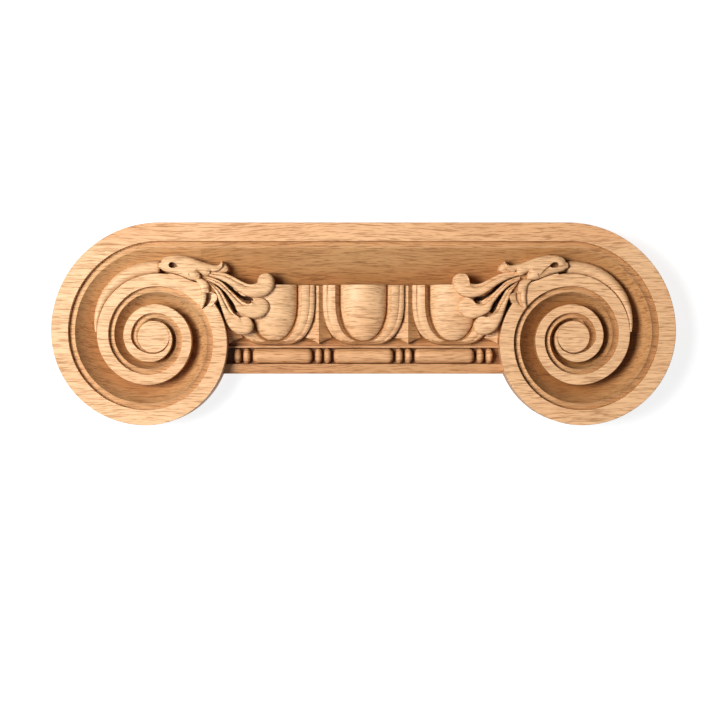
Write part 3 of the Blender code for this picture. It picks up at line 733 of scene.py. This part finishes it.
BACK_LEAF = [(76.0, 15.2), (73.0, 15.2), (70.6, 14.2), (70.1, 12.6), (71.0, 10.6), (73.4, 8.0),
             (76.1, 6.8), (77.6, 7.4), (77.6, 11.5)]
CALYX = [(80.5, 25.2), (76.6, 26.1), (72.7, 25.2), (70.6, 22.5), (71.0, 18.7), (71.6, 15.1),
         (74.6, 13.8), (77.0, 19.6), (79.4, 21.5)]
CHEEK = [(91.9, 24.0), (87.6, 22.8), (83.8, 21.1), (80.4, 19.9), (77.5, 18.6), (76.0, 16.0),
         (76.4, 13.0), (78.0, 13.8), (81.0, 16.0), (84.2, 18.0), (89.0, 20.4), (92.9, 22.3),
         (93.8, 23.9)]
ROLLED_TIP = [(69.1, 29.1), (67.1, 29.3), (65.7, 28.5), (64.8, 26.9), (65.1, 25.2), (67.2, 24.4),
              (70.1, 24.6), (70.6, 26.8)]


def closed_path(outline, steps):
    """Smooth closed curve through points; a doubled point is a corner."""
    curve = []
    count = len(outline)
    for k in range(count):
        before, here = outline[k - 1], outline[k]
        there, after = outline[(k + 1) % count], outline[(k + 2) % count]
        if here == there:
            continue
        for step in range(steps):
            t = step / steps
            curve.append(between(before, here, there, after, t))
    return np.array(curve)


def pillow(name, outline, crest, edge, shoulder, root, lean=0.0, shade_amount=0.0):
    """Closed form on an outline in millimetres, whose top swells from the edge inwards.

    Crest and edge are heights over the bands, reached over the shoulder's width, and
    the whole top rises towards the capital's middle by the rate given as lean.
    """
    rim = closed_path(outline, 5)
    ahead = np.roll(rim, -1, axis=0)

    def depth(points):
        """Distance of each point from the rim, negative outside it."""
        run = ahead - rim
        share = np.einsum("ijk,jk->ij", points[:, None] - rim, run) / (run ** 2).sum(1)
        nearest = rim + np.clip(share, 0, 1)[..., None] * run
        gap = np.sqrt(((points[:, None] - nearest) ** 2).sum(2)).min(1)
        level = points[:, 1, None]
        crosses = (rim[:, 1] > level) != (ahead[:, 1] > level)
        with np.errstate(divide="ignore", invalid="ignore"):
            x = rim[:, 0] + (level - rim[:, 1]) * run[:, 0] / run[:, 1]
        inside = (crosses & (points[:, 0, None] < x)).sum(1) % 2 == 1
        return np.where(inside, gap, -gap)

    normal = np.roll(rim, -1, axis=0) - np.roll(rim, 1, axis=0)
    normal = np.stack([-normal[:, 1], normal[:, 0]], 1) / np.linalg.norm(normal, axis=1)[:, None]
    if depth(rim + 0.05 * normal).sum() < 0:
        normal = -normal
    inner = []
    for away in RIM_LOOPS:
        ring = rim + away * normal
        inner.append(ring[depth(ring) > 0.85 * away])
    low, high = rim.min(0), rim.max(0)
    grid = np.stack(np.meshgrid(np.arange(low[0], high[0], LEAF_SPACING),
                                np.arange(low[1], high[1], LEAF_SPACING)), -1).reshape(-1, 2)
    inner.append(grid[depth(grid) > RIM_LOOPS[-1] + 0.2])
    points = np.concatenate([rim] + inner)
    count = len(rim)
    loop = [(k, (k + 1) % count) for k in range(count)]
    flat, _, triangles, *_ = delaunay_2d_cdt([Vector(p) for p in points], loop,
                                             [list(range(count))], 1, 1e-6)
    places = np.array([tuple(p) for p in flat])
    share = np.clip(np.maximum(depth(places), 0) / shoulder, 0, 1)
    top = (crest - edge) * np.sqrt(1 - (1 - share) ** 2)
    pairs = np.array([(t[k], t[k - 1]) for t in triangles for k in range(3)])
    pairs = np.concatenate([pairs, pairs[:, ::-1]])
    near = np.bincount(pairs[:, 0], minlength=len(top))
    for _ in range(SMOOTHINGS):
        mean = np.bincount(pairs[:, 0], top[pairs[:, 1]], len(top)) / near
        top = np.where(share > 0.25, 0.5 * (top + mean), top)
    top += edge + lean * (high[0] - places[:, 0])
    bm = bmesh.new()
    glaze = bm.faces.layers.float.new("glaze")
    fronts = [bm.verts.new((x / 1000, BAND_FACE + h / 1000, z / 1000))
              for (x, z), h in zip(places, top)]
    backs = [bm.verts.new((x / 1000, root, z / 1000)) for x, z in places]
    for corners in triangles:
        bm.faces.new([fronts[k] for k in corners])
        bm.faces.new([backs[k] for k in reversed(corners)])
    bm.edges.ensure_lookup_table()
    partner = dict(zip(fronts, backs))
    for rim_edge in [e for e in bm.edges if e.is_boundary and e.verts[0] in partner]:
        one, other = rim_edge.verts
        bm.faces.new((one, other, partner[other], partner[one]))
    for face in bm.faces:
        face[glaze] = shade_amount
    return solid(name, bm)


def mirrored(obj):
    """The same form on the other side of the capital."""
    mesh = obj.data.copy()
    for vert in mesh.vertices:
        vert.co.x = -vert.co.x
    mesh.flip_normals()
    other = bpy.data.objects.new(obj.name + "_left", mesh)
    bpy.context.scene.collection.objects.link(other)
    return other


# every root is set at a level of its own, so that no two lie in one plane
spray = [stem(ROOT),
         pillow("husk", HUSK, 3.5, 0.9, 2.6, ROOT - 0.0001),
         pillow("cheek", CHEEK, 0.04, -0.3, 0.6, ROOT - 0.0002),
         pillow("calyx", CALYX, -1.6, -3.0, 2.0, ROOT - 0.0003, shade_amount=CALYX_SHADE),
         pillow("rolled_tip", ROLLED_TIP, 0.9, -2.5, 1.8, ROOT - 0.0005),
         pillow("hanging_leaf", HANGING_LEAF, 2.2, 0.3, 1.6, ROOT - 0.0006),
         pillow("back_leaf", BACK_LEAF, -1.1, -1.5, 1.2, ROOT - 0.0007, lean=0.35)]
for k, stations in enumerate(TENDRILS):
    # each tendril sinks towards its knob, which lies on the eggs
    last = len(stations) - 1
    low = (1.8, 3.0) if k == 0 else (3.0, 4.1)
    sunk = [(*place, crest - low[0] * n / last, edge - low[1] * n / last)
            for n, (*place, crest, edge) in enumerate(stations)]
    spray.append(limb("tendril", sunk, ROOT - 0.0001 * (k + 9), strip=1.4, cap=True))
forms += spray + [mirrored(obj) for obj in spray]


# Cuts: made last, straight down with a narrow chisel: the drop sunk in the husk, the nick at
# its lower edge, the fold of the hanging leaf, deeper at the left, and the gaps between the
# tendrils. Only the right husk has a crease. Their faces carry painted shade, darkest in the
# gaps and the deep fold, light in the crease and the shallow fold.
CUT_SHADE, GAP_SHADE, CREASE_SHADE = 2.4, 4.0, 0.9
SHALLOW_FOLD_SHADE, DEEP_FOLD_SHADE = 0.4, 1.8
DROP_FLOOR, NICK_FLOOR, GAP_FLOOR, CREASE_FLOOR = 0.0205, 0.0236, 0.0105, 0.0244
SHALLOW_FOLD_FLOOR, DEEP_FOLD_FLOOR = 0.0212, 0.0195
CUTTER_TOP = 0.030
NICK = [(83.9, 23.9), (83.3, 24.2), (83.4, 22.6)]
UPPER_GAP = [(67.4, 19.9), (66.1, 20.1), (62.3, 16.4), (58.4, 13.6), (53.8, 12.7), (53.0, 11.3),
             (57.1, 11.2), (61.0, 13.7), (64.2, 16.6)]
LOWER_GAP = [(69.4, 18.0), (66.1, 15.0), (63.8, 12.0), (62.0, 8.6), (60.6, 5.8), (61.8, 5.4),
             (63.9, 8.4), (65.4, 11.6), (67.6, 14.9)]
CREASE = [(89.3, 27.6), (87.4, 26.8), (86.0, 25.3), (84.8, 23.8), (83.6, 23.0), (84.1, 22.2),
          (85.5, 22.7), (87.2, 24.3), (88.4, 25.8)]
FOLD = [(75.3, 14.6), (72.9, 14.9), (73.0, 12.0), (74.3, 9.4), (76.0, 7.9), (76.9, 7.7),
        (75.7, 10.5)]
DROP_MIDDLE, DROP_HEIGHT, DROP_SAG = (91.9, 28.1), 1.35, 0.7
DROP_POINT, DROP_ROUND = 3.3, 1.4       # lengths of its drawn-out and of its round end


def cutter(outline, floor, shade_amount):
    """Upright prism on an outline in millimetres, open to the front, whose faces carry painted
    shade.
    """
    obj = loft("cutter", [[(x / 1000, height, z / 1000) for x, z in outline]
                          for height in (floor, CUTTER_TOP)])
    for value in obj.data.attributes["glaze"].data:
        value.value = shade_amount
    return obj


def drop_outline():
    """Round at one end and drawn out to a point at the other."""
    outline = []
    for k in range(32):
        angle = math.tau * k / 32
        back = max(-math.cos(angle), 0.0)
        length = DROP_POINT if back else DROP_ROUND
        height = DROP_HEIGHT * math.sin(angle) * (1 - back ** 4) - DROP_SAG * back ** 2
        outline.append((DROP_MIDDLE[0] + length * math.cos(angle), DROP_MIDDLE[1] + height))
    return outline


cutters = [cutter(drop_outline(), DROP_FLOOR, CUT_SHADE), cutter(NICK, NICK_FLOOR, CUT_SHADE),
           cutter(UPPER_GAP, GAP_FLOOR, GAP_SHADE), cutter(LOWER_GAP, GAP_FLOOR, GAP_SHADE)]
cutters += [mirrored(obj) for obj in cutters]
cutters += [cutter(CREASE, CREASE_FLOOR, CREASE_SHADE),
            cutter(FOLD, SHALLOW_FOLD_FLOOR, SHALLOW_FOLD_SHADE)]
deep_fold = cutter(FOLD, DEEP_FOLD_FLOOR, DEEP_FOLD_SHADE)
cutters.append(mirrored(deep_fold))
bpy.data.objects.remove(deep_fold)


# One piece of wood: nothing in it is jointed or glued, so everything is fused to the ribbon,
# and then the cuts are made.
SHARP_EDGE = 32             # degrees
for form in forms + cutters:
    fuse = ribbon.modifiers.new(form.name, "BOOLEAN")
    fuse.operation = "DIFFERENCE" if form in cutters else "UNION"
    fuse.object = form
    fuse.solver = "MANIFOLD"
bpy.context.view_layer.update()
shown = ribbon.evaluated_get(bpy.context.evaluated_depsgraph_get())
fused = bpy.data.meshes.new_from_object(shown)
carved = bpy.data.objects.new("carved_oak", fused)
bpy.context.scene.collection.objects.link(carved)
for form in [ribbon] + forms + cutters:
    bpy.data.objects.remove(form)
fused.shade_smooth()
fused.set_sharp_from_angle(angle=math.radians(SHARP_EDGE))
fused.materials.clear()
fused.materials.append(oak)


# Oak: sanded smooth and stained, with growth lines that wave along the board, dashes where
# the pores are cut open, and broad changes of tone. Painted shade darkens the hollows, the
# creases and the sides turned from the key light, more painted shade browns the surface the
# deeper it lies, and the open pores are a little deeper and duller than the rest.
LIGHT_OAK, DARK_OAK = "E1B78A", "A87C50"
# colours: broad tone, painted shade for depth, warmer top, and the painted shade's own colour
BROAD_TINT, DEPTH_SHADE, TOP_TINT, SHADE_COLOUR = "E3B68C", "EFE3D8", "F9F0E8", "DDD1BC"
# lines in a metre across the grain: streaks 0.4 mm apart, figures 1.4 mm and pores 0.3 mm,
# which is about the width of a real one
STREAKS, FIGURES, PORES = 2400.0, 700.0, 3600.0
RING_WIDTH = 0.0021                     # real rings are 1 to 3 mm wide
# waves and patches in a metre: 33, 7 and 45 mm across the grain, three times that along it
BENDS, WAVES, PATCHES = 30.0, 150.0, 22.0
ALONG = 0.35
BEND, WAVE = 0.0105, 0.0014             # height of the long and of the short waves
SLOPE = 0.18                            # how the growth lines climb from the back to the front
RUN, INWARD = 0.045, 0.12               # lengths across the grain for one along it, and inwards
SHADE_START, SHADE_END = 0.0055, 0.0105   # depths under the bands over which the painted depth shade grows
TOP_START, TOP_END = 0.036, 0.042       # levels over the middle
FURROW = 0.00012                        # depth of the open pores


def linear(hex_colour):
    """Linear colour of an sRGB hex value."""
    values = [int(hex_colour[k:k + 2], 16) / 255 for k in (0, 2, 4)]
    return [v / 12.92 if v <= 0.04045 else ((v + 0.055) / 1.055) ** 2.4 for v in values] + [1.0]


oak.use_nodes = True
wood = oak.node_tree
shader = wood.nodes["Principled BSDF"]
position = add_node(wood, "ShaderNodeTexCoord", {}).outputs["Object"]
at = add_node(wood, "ShaderNodeSeparateXYZ", {"Vector": position}).outputs

# the grain's level, bent in long and in short waves; all that follows is drawn along it
stretched = add_node(wood, "ShaderNodeMapping", {
    "Vector": position, "Scale": (ALONG, ALONG, 1)}).outputs[0]
bend = add_node(wood, "ShaderNodeTexNoise", {"Vector": stretched, "Scale": BENDS, "Detail": 1.0})
wave = add_node(wood, "ShaderNodeTexNoise", {"Vector": stretched, "Scale": WAVES, "Detail": 2.0})
tilted = add_node(wood, "ShaderNodeMath", {0: at["Y"], 1: SLOPE, 2: at["Z"]},
                  operation="MULTIPLY_ADD")
bent = add_node(wood, "ShaderNodeMath", {0: bend.outputs["Fac"], 1: BEND, 2: tilted.outputs[0]},
                operation="MULTIPLY_ADD")
level = add_node(wood, "ShaderNodeMath", {0: wave.outputs["Fac"], 1: WAVE, 2: bent.outputs[0]},
                 operation="MULTIPLY_ADD").outputs[0]
run = add_node(wood, "ShaderNodeMath", {0: at["X"], 1: RUN}, operation="MULTIPLY").outputs[0]
inward = add_node(wood, "ShaderNodeMath", {0: at["Y"], 1: INWARD}, operation="MULTIPLY").outputs[0]
grain = add_node(wood, "ShaderNodeCombineXYZ", {"X": run, "Y": inward, "Z": level}).outputs[0]

# streaks of early wood, broader figures, the rings' dark edges and the pores, added up
streaks = add_node(wood, "ShaderNodeTexNoise", {
    "Vector": grain, "Scale": STREAKS, "Detail": 2.0, "Roughness": 0.6})
streak = add_node(wood, "ShaderNodeMapRange", {
    "Value": streaks.outputs["Fac"], "From Min": 0.52, "From Max": 0.63, "To Max": 0.8})
figures = add_node(wood, "ShaderNodeTexNoise", {"Vector": grain, "Scale": FIGURES, "Detail": 1.0})
figure = add_node(wood, "ShaderNodeMapRange", {
    "Value": figures.outputs["Fac"], "From Min": 0.42, "From Max": 0.68, "To Max": 0.18})
rings = add_node(wood, "ShaderNodeMath", {0: level, 1: math.tau / RING_WIDTH},
                 operation="MULTIPLY")
sine = add_node(wood, "ShaderNodeMath", {0: rings.outputs[0]}, operation="SINE")
ring = add_node(wood, "ShaderNodeMapRange", {
    "Value": sine.outputs[0], "From Min": 0.7, "From Max": 1.0, "To Max": 0.12})
pores = add_node(wood, "ShaderNodeTexNoise", {"Vector": grain, "Scale": PORES, "Detail": 1.0})
pore = add_node(wood, "ShaderNodeMapRange", {
    "Value": pores.outputs["Fac"], "From Min": 0.58, "From Max": 0.70, "To Max": 0.58})
drawn = streak
for part in (figure, ring, pore):
    drawn = add_node(wood, "ShaderNodeMath", {0: drawn.outputs[0], 1: part.outputs[0]},
                     operation="ADD", use_clamp=True)
tone = add_node(wood, "ShaderNodeMix", {
    0: drawn.outputs[0], 6: linear(LIGHT_OAK), 7: linear(DARK_OAK)}, data_type="RGBA")

# broad changes of tone, painted shade that browns the surface the deeper it lies, and a warmer top
# edge
broad = add_node(wood, "ShaderNodeTexNoise", {
    "Vector": stretched, "Scale": PATCHES, "Detail": 2.0})
patch = add_node(wood, "ShaderNodeMapRange", {
    "Value": broad.outputs["Fac"], "From Min": 0.35, "From Max": 0.65, "To Max": 0.35})
depth = add_node(wood, "ShaderNodeMapRange", {
    "Value": at["Y"], "From Min": SHADE_START - BAND_FACE, "From Max": SHADE_END - BAND_FACE})
top_edge = add_node(wood, "ShaderNodeMapRange", {
    "Value": at["Z"], "From Min": TOP_START, "From Max": TOP_END})
colour = tone
for share, tint in ((patch, BROAD_TINT), (depth, DEPTH_SHADE), (top_edge, TOP_TINT)):
    colour = add_node(wood, "ShaderNodeMix", {
        0: share.outputs[0], 6: colour.outputs[2], 7: linear(tint)},
                      data_type="RGBA", blend_type="MULTIPLY")

# the painted shade: its colour is raised to the amount that each face holds
amount = add_node(wood, "ShaderNodeAttribute", {}, attribute_name="glaze")
shade_tone = add_node(wood, "ShaderNodeGamma", {
    "Color": linear(SHADE_COLOUR), "Gamma": amount.outputs["Fac"]})
shaded = add_node(wood, "ShaderNodeMix", {0: 1.0, 6: colour.outputs[2], 7: shade_tone.outputs[0]},
                  data_type="RGBA", blend_type="MULTIPLY")
wood.links.new(shaded.outputs[2], shader.inputs["Base Color"])
sheen = add_node(wood, "ShaderNodeMapRange", {
    "Value": drawn.outputs[0], "To Min": 0.48, "To Max": 0.66})
wood.links.new(sheen.outputs[0], shader.inputs["Roughness"])
furrows = add_node(wood, "ShaderNodeBump", {
    "Strength": 0.35, "Distance": FURROW, "Height": drawn.outputs[0]}, invert=True)
wood.links.new(furrows.outputs[0], shader.inputs["Normal"])
shader.inputs["Specular IOR Level"].default_value = 0.3

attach(carved, "root")
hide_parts("ionic_capital")


# Stage: a white wall just behind the capital's back, not seen from behind, and a pale
# floor below. Both are dull paint that glows a little, so that they stay evenly light.
WALL_PLACE, WALL_TOP = 0.0005, 1.5
FLOOR_LEVEL, FLOOR_DEPTH, HALF_STAGE = -0.3, 2.5, 1.5
PAINT, GLOW = "868686", "FFFFFF"
WALL_GLOW, FLOOR_GLOW = 0.84, 0.86


def dull_paint(name, roughness, glow):
    material = bpy.data.materials.new(name)
    material.use_nodes = True
    dull = material.node_tree.nodes["Principled BSDF"]
    dull.inputs["Base Color"].default_value = linear(PAINT)
    dull.inputs["Roughness"].default_value = roughness
    dull.inputs["Emission Color"].default_value = linear(GLOW)
    dull.inputs["Emission Strength"].default_value = glow
    return material


def plane(name, corners, material):
    mesh = bpy.data.meshes.new(name)
    mesh.from_pydata(corners, [], [(0, 1, 2, 3)])
    mesh.materials.append(material)
    obj = bpy.data.objects.new(name, mesh)
    bpy.context.scene.collection.objects.link(obj)
    obj.visible_diffuse = False
    return obj


wall_paint = dull_paint("white wall paint", 1.0, WALL_GLOW)
nodes = wall_paint.node_tree.nodes
geometry = add_node(wall_paint.node_tree, "ShaderNodeNewGeometry", {})
clear = add_node(wall_paint.node_tree, "ShaderNodeBsdfTransparent", {})
mix = add_node(wall_paint.node_tree, "ShaderNodeMixShader", {
    0: geometry.outputs["Backfacing"], 1: nodes["Principled BSDF"].outputs[0],
    2: clear.outputs[0]})
wall_paint.node_tree.links.new(mix.outputs[0], nodes["Material Output"].inputs[0])
wall = plane("wall", [(x, WALL_PLACE, z) for x, z in (
    (-HALF_STAGE, FLOOR_LEVEL), (HALF_STAGE, FLOOR_LEVEL),
    (HALF_STAGE, WALL_TOP), (-HALF_STAGE, WALL_TOP))], wall_paint)
wall.visible_shadow = False
wall.visible_glossy = False
plane("floor", [(x, y, FLOOR_LEVEL) for x, y in (
    (-HALF_STAGE, -FLOOR_DEPTH), (HALF_STAGE, -FLOOR_DEPTH),
    (HALF_STAGE, FLOOR_DEPTH), (-HALF_STAGE, FLOOR_DEPTH))],
      dull_paint("pale floor", 0.9, FLOOR_GLOW))


# Light: weak, slightly blue surroundings that look white, a soft key from the left of the
# camera, and a fill for the sides that the wall hides.
SKY, SKY_STRENGTH, SEEN_SKY = "F2F9FF", 0.1325, "FFFFFF"
scene = bpy.context.scene
scene.view_settings.view_transform = "Standard"
world = bpy.data.worlds.new("surroundings")
scene.world = world
world.use_nodes = True
sky = world.node_tree
lit = sky.nodes["Background"]
lit.inputs["Color"].default_value = linear(SKY)
lit.inputs["Strength"].default_value = SKY_STRENGTH
seen = add_node(sky, "ShaderNodeBackground", {"Color": linear(SEEN_SKY)})
rays = add_node(sky, "ShaderNodeLightPath", {})
either = add_node(sky, "ShaderNodeMixShader", {
    0: rays.outputs["Is Camera Ray"], 1: lit.outputs[0], 2: seen.outputs[0]})
sky.links.new(either.outputs[0], sky.nodes["World Output"].inputs[0])


def area_light(name, place, size, power):
    """Square light that faces the middle of the capital and isn't seen itself."""
    data = bpy.data.lights.new(name, "AREA")
    data.shape, data.size, data.size_y, data.energy = "RECTANGLE", size, size, power
    obj = bpy.data.objects.new(name, data)
    obj.location = place
    obj.rotation_euler = (-Vector(place)).to_track_quat("-Z", "Y").to_euler()
    obj.visible_camera = False
    scene.collection.objects.link(obj)


area_light("key", (-0.60, -1.06, 0.05), 0.46, 22.2)
area_light("fill behind", (0.5, 0.9, 0.7), 0.8, 26)

bpy.context.view_layer.update()
